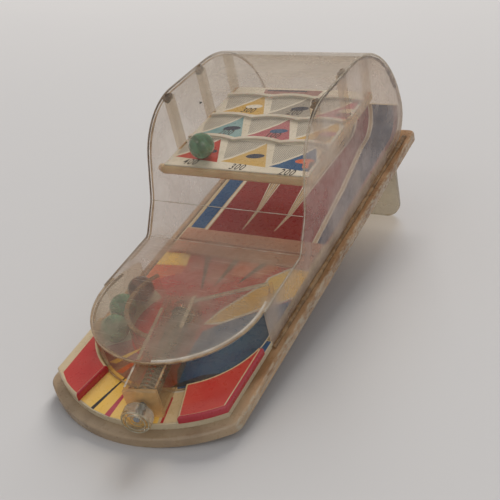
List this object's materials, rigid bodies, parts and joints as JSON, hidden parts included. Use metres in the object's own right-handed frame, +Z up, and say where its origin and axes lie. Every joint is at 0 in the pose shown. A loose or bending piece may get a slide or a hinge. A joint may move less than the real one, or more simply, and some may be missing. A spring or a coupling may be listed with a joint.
{
  "type": "tabletop marble pinball toy",
  "caption": "Clear plastic table-top pachinko-style marble game with a sprung plunger, round launch drum, raised play deck, curved ramp and domed score shelf.",
  "frame": {"origin": "bottom centre of the whole toy, on the table", "axes": "+Z up from the table, +Y from the player's end to the domed end, +X to the player's right"},
  "size_m": [0.104, 0.2724, 0.1179],
  "materials": {
    "clear_shell": "clear, aged and lightly hazed",
    "clear_walls": "clear, glossy",
    "clear_knob": "clear, glossy",
    "aged_tray": "clear, yellowed, scuffed at the rim",
    "deck_print": "formed white sheet printed in red, blue and yellow",
    "shelf_cream": "cream, satin",
    "score_print": "formed white sheet with printed cells",
    "spring_steel": "drawn wire, slightly dulled",
    "marble_green": "milky green, polished",
    "marble_brown": "dark brown-red, polished"
  },
  "bodies": {
    "case": {"base_tray": "aged_tray", "cover_sheet": "clear_shell", "drum_wall": "clear_shell", "housing_front_plate": "clear_walls", "lane_marble_1": "marble_brown", "lane_marble_2": "marble_green", "lane_marble_3": "marble_green", "left_lane_wall": "clear_walls", "play_deck": "deck_print", "plunger_housing": "clear_walls", "plunger_spring": "spring_steel", "rear_stand": "aged_tray", "right_guide_wall": "clear_walls", "score_sheet": "score_print", "score_shelf": "shelf_cream", "shelf_marble": "marble_green", "shelf_post_left_front": "clear_walls", "shelf_post_left_middle": "clear_walls", "shelf_post_left_rear": "clear_walls", "shelf_post_right_front": "clear_walls", "shelf_post_right_middle": "clear_walls", "shelf_post_right_rear": "clear_walls", "side_panel_left": "clear_shell", "side_panel_right": "clear_shell"},
    "plunger": {"plunger_rod": "spring_steel", "plunger_knob": "clear_knob", "striker_head": "clear_knob", "spring_washer": "spring_steel"}
  },
  "joints": [
    {"name": "plunger_pull", "type": "slide", "parent": "case", "child": "plunger", "axis": [0.2164, -0.9622, -0.165], "range_m": [0, 0.018], "stiffness_N_per_m": 100, "springref_m": -0.006, "deforming": ["plunger_spring"]}
  ]
}
